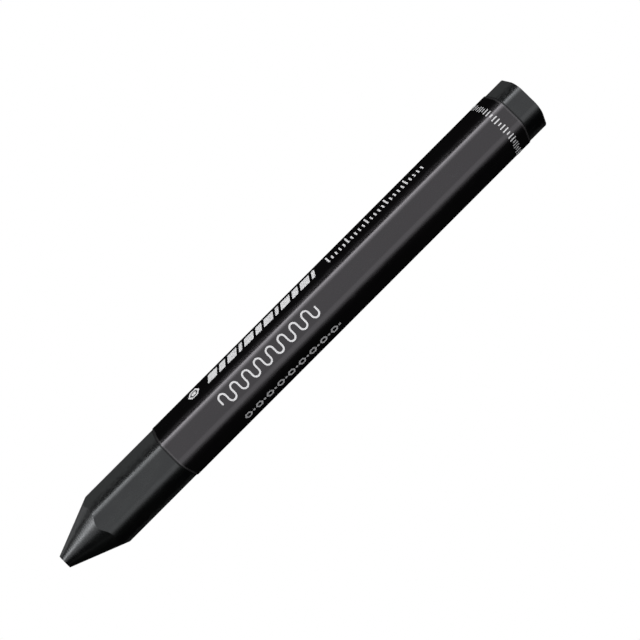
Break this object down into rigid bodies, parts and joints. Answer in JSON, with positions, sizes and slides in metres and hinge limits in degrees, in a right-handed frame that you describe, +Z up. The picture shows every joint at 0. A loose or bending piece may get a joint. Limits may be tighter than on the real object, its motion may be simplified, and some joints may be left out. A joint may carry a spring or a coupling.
{
  "type": "hexagonal marking crayon",
  "caption": "Hexagonal black wax marking crayon with a turned conical point, in a glossy black paper sleeve that can slide along the stick.",
  "frame": {"origin": "on the surface the crayon lies on, under the middle of its length and width", "axes": "+X along the stick from the writing tip to the butt, +Z up out of the top facet, +Y to the left when looking from the butt to the tip with +Z up"},
  "size_m": [0.12, 0.0121, 0.0113],
  "materials": {
    "wax": "satin moulded wax",
    "printed_paper": "varnished gloss print",
    "paste": "dried paste",
    "print_ink": "white printed ink"
  },
  "bodies": {
    "stick": {"wax_stick": "wax"},
    "sleeve": {"paper_sleeve": "printed_paper", "seam_paste": "paste"}
  },
  "joints": [
    {"name": "sleeve_slide", "type": "slide", "parent": "stick", "child": "sleeve", "axis": [1, 0, 0], "range_m": [-0.016, 0.08]}
  ]
}
